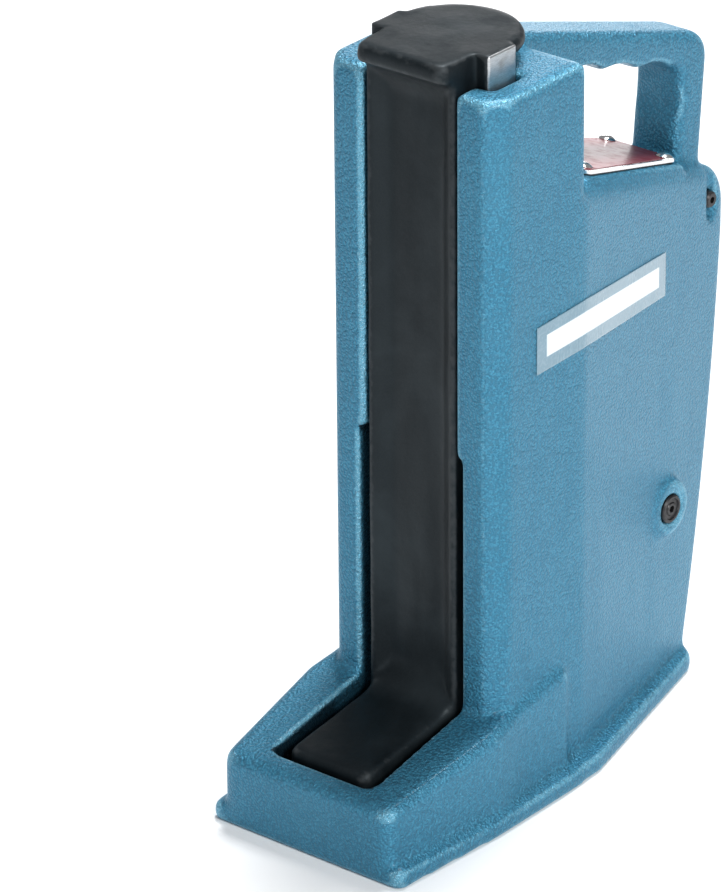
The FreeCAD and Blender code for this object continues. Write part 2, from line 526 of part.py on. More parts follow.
plungerSolid = fuse("PlungerSolid", [
    rod("PlungerPiston", "z", ("0", "plungerY", "118"), "7.95", "12"),
    rod("PlungerRod", "z", ("0", "plungerY", "118"), "plungerRadius", "92"),
    box("PlungerYoke", ("-8.5", "8.5"), ("plungerY - 6", "plungerY + 6"), ("208", "pivotZ + 4.5"))])
node(cut("PumpPlunger", plungerSolid, [
    box("YokeGap", ("-4.4", "4.4"), ("plungerY - 10", "plungerY + 10"), ("216.5", "260")),
    rod("YokeHole", "x", ("-20", "plungerY", "pivotZ"), "3.02", "40")]), "pump_plunger")
node(rod("PlungerPin", "x", ("-8.4", "plungerY", "pivotZ"), "3", "16.8"), "plunger_pin")
sealOuter = rod("PlungerSealOuter", "z", ("0", "plungerY", "pumpBarrelTop - 5"), "7.9", "4.8")
sealInner = rod("PlungerSealInner", "z", ("0", "plungerY", "100"), "plungerRadius + 0.05", "100")
node(cut("PlungerSeal", sealOuter, [sealInner]), "plunger_seal")


def sphere(name, x, y, z, radius):
    """A ball about its middle point."""
    ball = doc.addObject("Part::Sphere", name)
    for axis, text in zip("xyz", (x, y, z)):
        ball.setExpression("Placement.Base.%s" % axis, expr(text))
    ball.setExpression("Radius", expr(radius))
    return ball


node(group("ValveBalls", [
    sphere("DeliveryBall", "0", "140", "33.5", "3.4"),
    sphere("SuctionBall", "-8", "118", "60", "3.6")]), "valve_balls")
node(fuse("DeliveryPlug", [
    rod("DeliveryStem", "z", ("0", "140", "50"), "4.95", "pumpBlockTop - 50"),
    rod("DeliveryHead", "z", ("0", "140", "pumpBlockTop"), "7.5", "5")]), "delivery_plug")
node(fuse("SuctionFilter", [
    rod("FilterStem", "-x", ("-12", "118", "60"), "4.45", "4"),
    rod("FilterCap", "-x", ("-blockHalf", "118", "60"), "7.5", "9")]), "suction_filter")
node(fuse("ReliefValve", [
    rod("ReliefStem", "-x", ("-6", "94", "60"), "4.95", "10"),
    rod("ReliefHead", "-x", ("-blockHalf", "94", "60"), "7", "8")]), "relief_valve")

spindleTop = "bossFace - 10.6"
node(turned("ReleaseBody", [
    ("spindleRadius + runningGap", "0"), ("releaseRadius - 0.05", "0"),
    ("releaseRadius - 0.05", "bossFace - 10.4"), ("releaseRadius - 0.7", "bossFace - 9.8"),
    ("5.4", "bossFace - 9.8"), ("5.0", spindleTop), ("spindleRadius + runningGap", spindleTop)],
    ("10", "valveY", "releaseZ"), TURNS["x"]), "release_valve_body")
spindle = turned("ReleaseSpindle", [
    ("0", "0.5"), ("1.6", "0.5"), ("spindleRadius", "3"), ("spindleRadius", spindleTop),
    ("spindleRadius - 0.5", "bossFace - 10.1"), ("0", "bossFace - 10.1")],
    ("10", "valveY", "releaseZ"), TURNS["x"])


def hexagon(y, z, reach):
    """Six corners about a point of the side plane, the first one towards +Y."""
    turns = [math.radians(60 * i) for i in range(6)]
    return [("%s + %.3f" % (y, reach * math.cos(turn)), "%s + %.3f" % (z, reach * math.sin(turn)))
            for turn in turns]


keyway = prism("SpindleKey", "YZ", hexagon("valveY", "releaseZ", 1.9), "bossFace - 4.5", "10")
node(cut("SpindleCut", spindle, [keyway]), "release_spindle")

fillerHead = prism("FillerHead", "YZ", hexagon("fillerY", "fillerZ", 9.2), "-49.5", "5.5")
node(fuse("FillerPlug", [
    fillerHead, rod("FillerCollar", "-x", ("-42.6", "fillerY", "fillerZ"), "9.8", "1.6"),
    rod("FillerShank", "-x", ("-30", "fillerY", "fillerZ"), "5.95", "15")]), "filler_plug")

# ---------------------------------------------------------------- the lever socket
hub = box("Hub", ("-socketHalf", "socketHalf"), ("187", "socketMouth"), ("pivotZ - 9.2", "pivotZ + 9.2"))
hubSoft = soften("HubSoft", hub, "2", lambda p, w, e: abs(w.y) > 0.9 or p.y > 215)
node(cut("LeverSocket", fuse("SocketSolid", [
    hubSoft, box("SocketTongue", ("-4", "4"), ("158", "190"), ("pivotZ - 7.5", "pivotZ + 7.5"))]), [
    rod("LeverBore", "y", ("0", "socketMouth - 28", "pivotZ"), "socketBore", "40"),
    box("YokeSlot", ("-10", "10"), ("150", "171.5"), ("pivotZ - 3.6", "pivotZ + 3.6")),
    rod("SocketPivot", "x", ("-20", "pivotY", "pivotZ"), "pivotRadius + runningGap", "40")]), "lever_socket")
pivotScrews = []
for label, start, way in (("Right", "7.3", "x"), ("Left", "-7.3", "-x")):
    screw = turned("PivotScrew" + label, [
        ("0", "0"), ("pivotRadius", "0"), ("pivotRadius", "2.4"), ("pivotRadius + 0.95", "2.4"),
        ("pivotRadius + 0.95", "10.4"), ("pivotRadius + 0.2", "11.3"), ("0", "11.3")],
        (start, "pivotY", "pivotZ"), TURNS[way])
    key = rod("PivotScrewKey" + label, way, ("%s * 2.1" % start, "pivotY", "pivotZ"), "1.6", "10")
    pivotScrews.append(cut("PivotScrewCut" + label, screw, [key]))
node(group("PivotScrews", pivotScrews), "lever_pivot_screws")

# ---------------------------------------------------------------- the reservoir cover on the sloping top


def slab(name, inset, low, high):
    """A piece of the cover's outline, between two heights above the sloping top."""
    plan = prism(name + "Plan", "XY", mirrored([
        ("coverFrontHalf - %s" % inset, "coverFront + %s" % inset),
        ("coverRearHalf - %s" % inset, "coverRear - %s" % inset)]), "230", "80")
    corners = soften(name + "Corners", plan, "4", lambda p, w, e: abs(w.z) > 0.9)
    side = prism(name + "Side", "YZ", [
        ("60", pumpTop % "60" + " + " + low), ("200", pumpTop % "200" + " + " + low),
        ("200", pumpTop % "200" + " + " + high), ("60", pumpTop % "60" + " + " + high)], "-60", "120")
    return common(name, corners, side)


gasketMouth = box("GasketMouth", ("-15", "15"), ("coverFront + 14", "148"), ("200", "320"))
node(cut("CoverGasket", slab("GasketSlab", "0.6", "padRise", gasketTop),
         coverRods("GasketHole", "2.2", "20", "40") + [gasketMouth]), "cover_gasket")
node(cut("ReservoirCover", slab("CoverSlab", "0", gasketTop, coverTop),
         coverRods("CoverHole", "2.2", "20", "40")), "reservoir_cover")
node(cut("CoverLabel", slab("LabelSlab", "1.6", coverTop, coverTop + " + 0.35"),
         coverRods("LabelHole", "4.6", "20", "40")), "cover_label")
coverScrews = []
for i, (x, y) in enumerate(coverSpots):
    coverScrews.append(turned("CoverScrew%d" % i, [
        ("0", "-9"), ("1.9", "-9"), ("1.9", "0"), ("4.2", "0"), ("4.2", "0.6"), ("0.5", "2.45", "5.6"),
        ("0", "2.45")], (str(x), str(y), pumpTop % y + " + " + coverTop), TURNS["cover"]))
node(group("CoverScrews", coverScrews), "cover_screws")

# ---------------------------------------------------------------- finish and files
doc.recompute()
for solid, label in nodes:
    place = solid.Placement
    solid.Placement = FreeCAD.Placement(place.Base - V(0, size("originY"), 0), place.Rotation)
doc.recompute()
for thing in doc.Objects:
    if "Invalid" in thing.State or "Error" in thing.State:
        failures.append("%s: %s" % (thing.Name, thing.State))
for solid, label in nodes:
    if solid.Shape.isNull() or not solid.Shape.isValid():
        failures.append("%s: bad shape" % label)
if failures:
    raise RuntimeError("; ".join(failures))
os.makedirs("parts", exist_ok=True)
for solid, label in nodes:
    solid.Shape.exportStep("parts/%s.step" % label)
    reach = solid.Shape.BoundBox
    print("%-20s solids %d  volume %9.0f  x %.1f..%.1f  y %.1f..%.1f  z %.1f..%.1f" % (
        label, len(solid.Shape.Solids), solid.Shape.Volume, reach.XMin, reach.XMax, reach.YMin,
        reach.YMax, reach.ZMin, reach.ZMax))
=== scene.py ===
import math

import bpy
import numpy as np
from mathutils import Matrix, Vector


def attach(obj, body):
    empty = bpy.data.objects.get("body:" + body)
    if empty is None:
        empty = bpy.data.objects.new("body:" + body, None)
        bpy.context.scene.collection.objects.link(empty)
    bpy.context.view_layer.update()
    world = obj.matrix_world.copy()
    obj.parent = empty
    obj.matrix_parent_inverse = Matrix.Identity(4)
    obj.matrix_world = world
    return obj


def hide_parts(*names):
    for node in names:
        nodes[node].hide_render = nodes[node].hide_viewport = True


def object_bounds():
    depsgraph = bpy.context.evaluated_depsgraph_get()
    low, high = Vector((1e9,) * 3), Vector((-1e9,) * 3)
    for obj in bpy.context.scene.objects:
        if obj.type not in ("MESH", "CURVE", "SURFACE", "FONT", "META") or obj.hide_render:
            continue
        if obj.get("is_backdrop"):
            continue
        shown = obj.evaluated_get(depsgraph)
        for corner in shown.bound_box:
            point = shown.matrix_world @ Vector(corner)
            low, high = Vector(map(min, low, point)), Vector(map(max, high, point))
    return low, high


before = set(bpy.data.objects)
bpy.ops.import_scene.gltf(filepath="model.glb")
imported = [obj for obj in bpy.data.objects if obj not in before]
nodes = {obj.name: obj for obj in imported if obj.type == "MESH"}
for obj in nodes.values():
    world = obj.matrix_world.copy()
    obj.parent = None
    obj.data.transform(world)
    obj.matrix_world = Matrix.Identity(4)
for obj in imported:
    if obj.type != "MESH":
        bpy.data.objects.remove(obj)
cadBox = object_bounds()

scene = bpy.context.scene
print("frame loaded:", len(nodes), "nodes")

# camera: place in metres, angles in degrees, lens and sensor in millimetres
cameraPlace = {"spot": (1.5730, -2.02755, 1.3976), "azimuth": 39.28, "elevation": 25.94,
               "roll": -0.49, "lens": 251.0, "sensor": 36.0, "clipEnd": 60.0}


def makeCamera(setup):
    azimuth = math.radians(setup["azimuth"])
    elevation = math.radians(setup["elevation"])
    roll = math.radians(setup["roll"])
    level = math.cos(elevation)
    back = Vector((math.sin(azimuth) * level, -math.cos(azimuth) * level, math.sin(elevation)))
    side = Vector((math.cos(azimuth), math.sin(azimuth), 0.0))
    top = back.cross(side)
    right = side * math.cos(roll) + top * math.sin(roll)
    up = top * math.cos(roll) - side * math.sin(roll)
    data = bpy.data.cameras.new("camera")
    data.sensor_width = setup["sensor"]
    data.lens = setup["lens"]
    data.clip_end = setup["clipEnd"]
    camera = bpy.data.objects.new("camera", data)
    turn = Matrix((right, up, back)).transposed().to_4x4()
    camera.matrix_world = Matrix.Translation(Vector(setup["spot"])) @ turn
    scene.collection.objects.link(camera)
    scene.camera = camera


makeCamera(cameraPlace)
print("camera placed")

# light and floor; each lamp is a name, a place, a width in metres, a power in watts and a colour
studio = {"world": (0.93, 0.96, 1.0), "worldStrength": 0.27, "aim": (0.0, 0.0, 0.16),
          "floorColour": (0.86, 0.87, 0.88), "floorSize": 14.0, "floorRoughness": 0.75,
          "lamps": (
              ("keyPanel", (2.3, -0.75, 1.7), 0.9, 64.0, (1.0, 0.98, 0.96)),
              ("leftPanel", (-2.3, -0.6, 1.5), 0.8, 6.0, (0.95, 0.98, 1.0)),
              ("topPanel", (-0.2, 0.9, 2.8), 1.0, 104.0, (1.0, 1.0, 1.0)),
              ("backLow", (-1.7, 2.3, 0.55), 0.9, 9.0, (1.0, 1.0, 1.0)),
              ("frontStrip", (1.3, -2.6, 0.5), 0.6, 17.0, (1.0, 1.0, 1.0)))}


def makeStudio(setup):
    world = bpy.data.worlds.new("studioWorld")
    world.use_nodes = True
    sky = world.node_tree.nodes["Background"]
    sky.inputs["Color"].default_value = (*setup["world"], 1.0)
    sky.inputs["Strength"].default_value = setup["worldStrength"]
    scene.world = world
    middle = Vector(setup["aim"])
    for name, spot, size, power, colour in setup["lamps"]:
        data = bpy.data.lights.new(name, "AREA")
        data.shape = "DISK"
        data.size = size
        data.energy = power
        data.color = colour
        lamp = bpy.data.objects.new(name, data)
        turn = (Vector(spot) - middle).to_track_quat("Z", "Y").to_matrix().to_4x4()
        lamp.matrix_world = Matrix.Translation(Vector(spot)) @ turn
        scene.collection.objects.link(lamp)
    half = setup["floorSize"] / 2
    mesh = bpy.data.meshes.new("floor")
    corners = [(-half, -half, 0), (half, -half, 0), (half, half, 0), (-half, half, 0)]
    mesh.from_pydata(corners, [], [(0, 1, 2, 3)])
    floor = bpy.data.objects.new("floor", mesh)
    scene.collection.objects.link(floor)
    material = bpy.data.materials.new("paleFloor")
    material.use_nodes = True
    surface = material.node_tree.nodes["Principled BSDF"]
    surface.inputs["Base Color"].default_value = (*setup["floorColour"], 1.0)
    surface.inputs["Roughness"].default_value = setup["floorRoughness"]
    mesh.materials.append(material)
    floor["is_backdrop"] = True
    scene.view_settings.view_transform = "Standard"


makeStudio(studio)
print("studio lit")


# a small helper for writing node trees
class Tree:
    def __init__(self, tree):
        self.tree = tree

    def add(self, kind, **settings):
        made = self.tree.nodes.new(kind)
        for key, value in settings.items():
            setattr(made, key, value)
        return made

    def put(self, value, socket):
        if isinstance(value, bpy.types.NodeSocket):
            self.tree.links.new(value, socket)
        else:
            socket.default_value = value

    def maths(self, way, first, second=0.5):
        made = self.add("ShaderNodeMath", operation=way)
        self.put(first, made.inputs[0])
        self.put(second, made.inputs[1])
        return made.outputs[0]

    def times(self, first, second):
        return self.maths("MULTIPLY", first, second)

    def plus(self, first, second):
        return self.maths("ADD", first, second)

    def mix(self, share, first, second):
        made = self.add("ShaderNodeMix", data_type="RGBA", blend_type="MIX")
        self.put(share, made.inputs[0])
        self.put(first, made.inputs[6])
        self.put(second, made.inputs[7])
        return made.outputs[2]

    def band(self, value, low, high):
        # smooth step from 0 at low to 1 at high
        made = self.add("ShaderNodeMapRange", interpolation_type="SMOOTHSTEP")
        for place, number in enumerate((low, high, 0.0, 1.0), start=1):
            self.put(number, made.inputs[place])
        self.put(value, made.inputs[0])
        return made.outputs[0]

    def noise(self, vector, scale, detail=3.0, rough=0.55, distortion=0.0):
        made = self.add("ShaderNodeTexNoise")
        self.put(vector, made.inputs["Vector"])
        self.put(scale, made.inputs["Scale"])
        self.put(detail, made.inputs["Detail"])
        self.put(rough, made.inputs["Roughness"])
        self.put(distortion, made.inputs["Distortion"])
        return made.outputs["Fac"]

    def cells(self, vector, scale, softness):
        made = self.add("ShaderNodeTexVoronoi", feature="SMOOTH_F1")
        self.put(vector, made.inputs["Vector"])
        self.put(scale, made.inputs["Scale"])
        self.put(softness, made.inputs["Smoothness"])
        return made.outputs["Distance"]

    def bump(self, height, strength, distance):
        made = self.add("ShaderNodeBump")
        self.put(height, made.inputs["Height"])
        self.put(strength, made.inputs["Strength"])
        self.put(distance, made.inputs["Distance"])
        return made.outputs["Normal"]


def makeGroup(name, takes, gives):
    group = bpy.data.node_groups.new(name, "ShaderNodeTree")
    for label, kind, value in takes:
        socket = group.interface.new_socket(name=label, in_out="INPUT", socket_type=kind)
        if value is not None:
            socket.default_value = value
    for label, kind in gives:
        group.interface.new_socket(name=label, in_out="OUTPUT", socket_type=kind)
    inside = Tree(group)
    entry = group.nodes.new("NodeGroupInput")
    leave = group.nodes.new("NodeGroupOutput")
    return group, inside, entry.outputs, leave.inputs


# hammered film: shallow rounded cells of one size with finer orange peel between them
hammerShape = {"wanderScale": 0.45, "softness": 0.75, "peelScale": 1.9, "hollowShare": 0.75,
               "peelShare": 0.55, "rim": (0.42, 0.72), "sparkleScale": 4.5, "sparkle": (0.60, 0.72)}
hammerGroup, g, enter, out = makeGroup("hammeredFilm", [
    ("Position", "NodeSocketVector", None), ("Cell size", "NodeSocketFloat", 0.0022),
    ("Unevenness", "NodeSocketFloat", 0.5)],
    [("Height", "NodeSocketFloat"), ("Rim", "NodeSocketFloat"), ("Sparkle", "NodeSocketFloat")])
cellScale = g.maths("DIVIDE", 1.0, enter["Cell size"])
wander = g.add("ShaderNodeTexNoise")
g.put(enter["Position"], wander.inputs["Vector"])
g.put(g.times(cellScale, hammerShape["wanderScale"]), wander.inputs["Scale"])
shift = g.add("ShaderNodeVectorMath", operation="SCALE")
g.put(wander.outputs["Color"], shift.inputs[0])
g.put(g.times(enter["Cell size"], enter["Unevenness"]), shift.inputs["Scale"])
warped = g.add("ShaderNodeVectorMath", operation="ADD")
g.put(enter["Position"], warped.inputs[0])
g.put(shift.outputs[0], warped.inputs[1])
hollow = g.cells(warped.outputs[0], cellScale, hammerShape["softness"])
peel = g.noise(enter["Position"], g.times(cellScale, hammerShape["peelScale"]), 2.0, 0.5)
g.put(g.plus(g.times(hollow, hammerShape["hollowShare"]),
              g.times(peel, hammerShape["peelShare"])), out["Height"])
g.put(g.band(hollow, *hammerShape["rim"]), out["Rim"])
flake = g.noise(enter["Position"], g.times(cellScale, hammerShape["sparkleScale"]), 1.0)
g.put(g.band(flake, *hammerShape["sparkle"]), out["Sparkle"])

# mask of convex edges: a softened skin's corner value, made ragged by noise, where it passes a width; on the
# forging it marks rubbed paint, on the blue paint both paint wear and painted highlight
edgeSpread = 0.28
edgeGroup, g, enter, out = makeGroup("cornerMask", [
    ("Position", "NodeSocketVector", None), ("Corner", "NodeSocketFloat", 0.0),
    ("Width", "NodeSocketFloat", 0.3), ("Breakup", "NodeSocketFloat", 0.4),
    ("Patch scale", "NodeSocketFloat", 300.0)], [("Mask", "NodeSocketFloat")])
patches = g.maths("SUBTRACT", g.noise(enter["Position"], enter["Patch scale"], 4.0), 0.5)
edgeValue = g.plus(enter["Corner"], g.times(patches, enter["Breakup"]))
g.put(g.band(edgeValue, enter["Width"], g.plus(enter["Width"], edgeSpread)), out["Mask"])

# settled dust as a broad soft cloud, and handling marks drawn out upwards
dustShape = {"cloud": (0.42, 0.72), "smearStretch": (1.0, 1.0, 0.16), "smearScale": 3.2,
             "smear": (0.45, 0.7)}
dustGroup, g, enter, out = makeGroup("workshopDust", [
    ("Position", "NodeSocketVector", None), ("Cloud scale", "NodeSocketFloat", 14.0),
    ("Amount", "NodeSocketFloat", 0.5)], [("Mask", "NodeSocketFloat"), ("Smear", "NodeSocketFloat")])
cloud = g.noise(enter["Position"], enter["Cloud scale"], 6.0, 0.62, 0.3)
g.put(g.times(g.band(cloud, *dustShape["cloud"]), enter["Amount"]), out["Mask"])
smearSpace = g.add("ShaderNodeMapping")
smearSpace.inputs["Scale"].default_value = dustShape["smearStretch"]
g.put(enter["Position"], smearSpace.inputs["Vector"])
smearScale = g.times(enter["Cloud scale"], dustShape["smearScale"])
g.put(g.band(g.noise(smearSpace.outputs[0], smearScale, 5.0, 0.6), *dustShape["smear"]), out["Smear"])

# fine even grain, as on a blasted forging or a ground face
grainSpread = (0.35, 0.68)
grainGroup, g, enter, out = makeGroup("fineGrain", [
    ("Position", "NodeSocketVector", None), ("Stretch", "NodeSocketVector", (1.0, 1.0, 1.0)),
    ("Scale", "NodeSocketFloat", 900.0)], [("Height", "NodeSocketFloat"), ("Spread", "NodeSocketFloat")])
grainSpace = g.add("ShaderNodeMapping")
g.put(enter["Position"], grainSpace.inputs["Vector"])
g.put(enter["Stretch"], grainSpace.inputs["Scale"])
grainFine = g.noise(grainSpace.outputs[0], enter["Scale"], 5.0, 0.65)
g.put(grainFine, out["Height"])
g.put(g.band(grainFine, *grainSpread), out["Spread"])


def startMaterial(name):
    material = bpy.data.materials.new(name)
    material.use_nodes = True
    t = Tree(material.node_tree)
    surface = material.node_tree.nodes["Principled BSDF"]
    position = t.add("ShaderNodeTexCoord").outputs["Object"]
    return material, t, surface, position


def useGroup(t, group, **values):
    made = t.add("ShaderNodeGroup", node_tree=group)
    for key, value in values.items():
        t.put(value, made.inputs[key.replace("_", " ")])
    return made.outputs


def colour(red, green, blue):
    return (red, green, blue, 1.0)


# hammered blue paint over the casting
paintFinish = {"shadedTone": colour(0.012, 0.098, 0.178), "lit": colour(0.048, 0.222, 0.342),
               "rimLight": colour(0.15, 0.38, 0.50), "rimHighlightShare": 0.20, "relief": (0.35, 0.85),
               "faded": colour(0.075, 0.235, 0.335), "fadedShare": 0.35,
               "edge": colour(0.15, 0.40, 0.54), "edgeShare": 0.50, "edgeWidth": 0.30, "edgeBreakup": 0.42,
               "creaseShade": colour(0.006, 0.026, 0.046), "creaseShadeShare": 0.45, "creaseShadeFrom": (0.25, 0.9),
               "glint": colour(0.62, 0.80, 0.88), "glintOnEdges": 0.75, "glintAnywhere": 0.06,
               "slotShadeAndGrease": colour(0.0025, 0.0060, 0.0100), "slotShadeAndGreaseShare": 0.93,
               "roughness": 0.31, "smearRoughness": 0.08, "flake": 0.30, "rimFlake": 0.30,
               "gloss": 0.26, "glossTint": colour(0.68, 0.88, 1.0), "coat": 0.08, "coatRoughness": 0.12,
               "cellSize": 0.00128, "unevenness": 0.7, "bumpDepth": 0.00085}
# where the casting's slot walls lie: half widths, the height of the step, the pocket's front end
slotPlace = {"upperHalf": 0.02625, "lowerHalf": 0.02965, "step": 0.178, "front": -0.1357,
             "rear": -0.013, "top": 0.3512, "soft": 0.0003}


def insideSlot(t, position):
    # 1 where a point lies within the slot's half width at its height, behind the pocket's front end
    p = slotPlace
    axes = t.add("ShaderNodeSeparateXYZ")
    t.put(position, axes.inputs[0])
    reach = t.maths("ABSOLUTE", axes.outputs["X"])
    above = t.band(axes.outputs["Z"], p["step"] - p["soft"], p["step"] + p["soft"])
    narrowing = t.times(above, p["lowerHalf"] - p["upperHalf"])
    half = t.maths("SUBTRACT", p["lowerHalf"], narrowing)
    within = t.band(t.maths("SUBTRACT", half, reach), -p["soft"], p["soft"])
    behind = t.band(axes.outputs["Y"], p["front"] - p["soft"], p["front"] + p["soft"])
    before = t.band(t.maths("SUBTRACT", p["rear"], axes.outputs["Y"]), -p["soft"], p["soft"])
    below = t.band(t.maths("SUBTRACT", p["top"], axes.outputs["Z"]), -p["soft"], p["soft"])
    return t.times(t.times(within, behind), t.times(before, below))


def hammeredPaint():
    material, t, surface, position = startMaterial("hammeredBlue")
    f = paintFinish
    film = useGroup(t, hammerGroup, Position=position, Cell_size=f["cellSize"], Unevenness=f["unevenness"])
    corner = t.add("ShaderNodeAttribute", attribute_name="corner").outputs["Fac"]
    gutter = t.add("ShaderNodeAttribute", attribute_name="gutter").outputs["Fac"]
    edgeMask = useGroup(t, edgeGroup, Position=position, Corner=corner, Width=f["edgeWidth"],
                    Breakup=f["edgeBreakup"], Patch_scale=420.0)
    dust = useGroup(t, dustGroup, Position=position, Cloud_scale=11.0, Amount=0.5)
    # painted light and shade on the hammer cells: the lit tone in the sunken cell centres, the shaded tone towards
    # the raised borders
    base = t.mix(t.band(film["Height"], *f["relief"]), f["lit"], f["shadedTone"])
    # painted highlight along the raised cell rims
    base = t.mix(t.times(film["Rim"], f["rimHighlightShare"]), base, f["rimLight"])
    base = t.mix(t.times(dust["Mask"], f["fadedShare"]), base, f["faded"])
    # lighter blue along convex edges: partly paint wear, partly painted highlight where the edges catch light
    base = t.mix(t.times(edgeMask["Mask"], f["edgeShare"]), base, f["edge"])
    # painted shade darkening the concave creases
    base = t.mix(t.times(t.band(gutter, *f["creaseShadeFrom"]), f["creaseShadeShare"]), base, f["creaseShade"])
    where = t.plus(t.times(edgeMask["Mask"], f["glintOnEdges"]), f["glintAnywhere"])
    base = t.mix(t.times(film["Sparkle"], where), base, f["glint"])
    # painted shade, with some grease, darkening the walls inside the slot
    base = t.mix(t.times(insideSlot(t, position), f["slotShadeAndGreaseShare"]), base, f["slotShadeAndGrease"])
    t.put(base, surface.inputs["Base Color"])
    t.put(t.plus(t.times(dust["Smear"], f["smearRoughness"]), f["roughness"]), surface.inputs["Roughness"])
    t.put(t.plus(t.times(film["Rim"], f["rimFlake"]), f["flake"]), surface.inputs["Metallic"])
    surface.inputs["Specular IOR Level"].default_value = f["gloss"]
    surface.inputs["Specular Tint"].default_value = f["glossTint"]
    surface.inputs["Coat Weight"].default_value = f["coat"]
    surface.inputs["Coat Roughness"].default_value = f["coatRoughness"]
    t.put(t.bump(film["Height"], 1.0, f["bumpDepth"]), surface.inputs["Normal"])
    return material


# black paint on the forging, bare where the lugs slide
forgingFinish = {"black": colour(0.0026, 0.0044, 0.0058), "grey": colour(0.0135, 0.0185, 0.0215),
                 "dustShare": 0.8, "grainShare": 0.25, "rub": colour(0.040, 0.044, 0.047), "rubShare": 0.5,
                 "edgeWidth": 0.36, "edgeBreakup": 0.9, "roughness": 0.44, "smearRoughness": 0.14,
                 "gloss": 0.24, "glossTint": colour(0.78, 0.92, 1.0),
                 "scaleSize": 0.0035, "grainDepth": 0.35, "scaleDepth": 0.55, "bump": (0.6, 0.00022),
                 "bareFrom": 0.0321, "bareWide": 0.0005, "bareRagged": 0.0006, "bareSmoother": -0.08,
                 "steel": colour(0.56, 0.57, 0.58), "steelDark": colour(0.40, 0.41, 0.42),
                 "stain": colour(0.20, 0.17, 0.15), "stainFrom": (0.5, 0.72), "stainShare": 0.45}


def bareSteel(t, position):
    # mask of the lugs' ground ends, and their steel with its stains
    f = forgingFinish
    axes = t.add("ShaderNodeSeparateXYZ")
    t.put(position, axes.inputs[0])
    reach = t.maths("ABSOLUTE", axes.outputs["X"])
    ragged = t.times(t.maths("SUBTRACT", t.noise(position, 350.0, 4.0), 0.5), f["bareRagged"])
    bare = t.band(t.plus(reach, ragged), f["bareFrom"], f["bareFrom"] + f["bareWide"])
    ground = useGroup(t, grainGroup, Position=position, Stretch=(1.0, 1.0, 9.0), Scale=500.0)
    steel = t.mix(ground["Spread"], f["steel"], f["steelDark"])
    stain = t.band(t.noise(position, 90.0, 5.0), *f["stainFrom"])
    return bare, t.mix(t.times(stain, f["stainShare"]), steel, f["stain"])


def blackForging(name, bareLugs):
    material, t, surface, position = startMaterial(name)
    f = forgingFinish
    grain = useGroup(t, grainGroup, Position=position, Scale=1500.0)
    scale = useGroup(t, hammerGroup, Position=position, Cell_size=f["scaleSize"], Unevenness=1.2)
    dust = useGroup(t, dustGroup, Position=position, Cloud_scale=17.0, Amount=1.0)
    corner = t.add("ShaderNodeAttribute", attribute_name="corner").outputs["Fac"]
    edgeMask = useGroup(t, edgeGroup, Position=position, Corner=corner, Width=f["edgeWidth"],
                    Breakup=f["edgeBreakup"], Patch_scale=260.0)
    base = t.mix(t.times(dust["Mask"], f["dustShare"]), f["black"], f["grey"])
    base = t.mix(t.times(grain["Spread"], f["grainShare"]), base, f["grey"])
    base = t.mix(t.times(edgeMask["Mask"], f["rubShare"]), base, f["rub"])
    rough = t.plus(t.times(dust["Smear"], f["smearRoughness"]), f["roughness"])
    height = t.plus(t.times(grain["Height"], f["grainDepth"]), t.times(scale["Height"], f["scaleDepth"]))
    if bareLugs:
        bare, steel = bareSteel(t, position)
        base = t.mix(bare, base, steel)
        rough = t.plus(t.times(bare, f["bareSmoother"]), rough)
        t.put(bare, surface.inputs["Metallic"])
    t.put(base, surface.inputs["Base Color"])
    t.put(rough, surface.inputs["Roughness"])
    t.put(t.bump(height, *f["bump"]), surface.inputs["Normal"])
    surface.inputs["Specular IOR Level"].default_value = f["gloss"]
    surface.inputs["Specular Tint"].default_value = f["glossTint"]
    return material


# metals and seals: light colour, dark colour, roughness, grain scale, grain stretch, metallic
metalFinishes = {
    "zincSteel": (colour(0.62, 0.63, 0.60), colour(0.44, 0.46, 0.47), 0.34, 700.0, (1, 1, 1), 1.0),
    "groundSteel": (colour(0.72, 0.73, 0.75), colour(0.52, 0.53, 0.55), 0.20, 600.0, (1, 1, 9), 1.0),
    "machinedSteel": (colour(0.50, 0.50, 0.51), colour(0.33, 0.33, 0.35), 0.36, 600.0, (6, 6, 1), 1.0),
    "springWire": (colour(0.22, 0.22, 0.24), colour(0.12, 0.11, 0.11), 0.38, 900.0, (1, 1, 4), 1.0),
    "bearingBronze": (colour(0.62, 0.44, 0.22), colour(0.42, 0.27, 0.12), 0.33, 600.0, (1, 1, 8), 1.0),
    "blackOxide": (colour(0.030, 0.030, 0.032), colour(0.012, 0.012, 0.013), 0.33, 900.0, (1, 1, 1), 0.55),
    "stainlessSheet": (colour(0.78, 0.78, 0.78), colour(0.58, 0.58, 0.60), 0.26, 500.0, (8, 1, 1), 1.0),
    "nickelDome": (colour(0.90, 0.89, 0.87), colour(0.72, 0.71, 0.70), 0.13, 700.0, (1, 1, 1), 1.0),
    "sealRubber": (colour(0.022, 0.022, 0.022), colour(0.045, 0.043, 0.040), 0.62, 1200.0, (1, 1, 1), 0.0)}


metalWear = {"grainShare": 0.7, "dustShare": 0.35, "smearRoughness": 0.14, "bump": (0.25, 0.00010)}


def metalMaterial(name, light, dark, rough, scale, stretch, metallic):
    material, t, surface, position = startMaterial(name)
    f = metalWear
    grain = useGroup(t, grainGroup, Position=position, Stretch=stretch, Scale=scale)
    dust = useGroup(t, dustGroup, Position=position, Cloud_scale=45.0, Amount=1.0)
    base = t.mix(t.times(grain["Spread"], f["grainShare"]), light, dark)
    base = t.mix(t.times(dust["Mask"], f["dustShare"]), base, dark)
    t.put(base, surface.inputs["Base Color"])
    t.put(t.plus(t.times(dust["Smear"], f["smearRoughness"]), rough), surface.inputs["Roughness"])
    surface.inputs["Metallic"].default_value = metallic
    t.put(t.bump(grain["Height"], *f["bump"]), surface.inputs["Normal"])
    return material


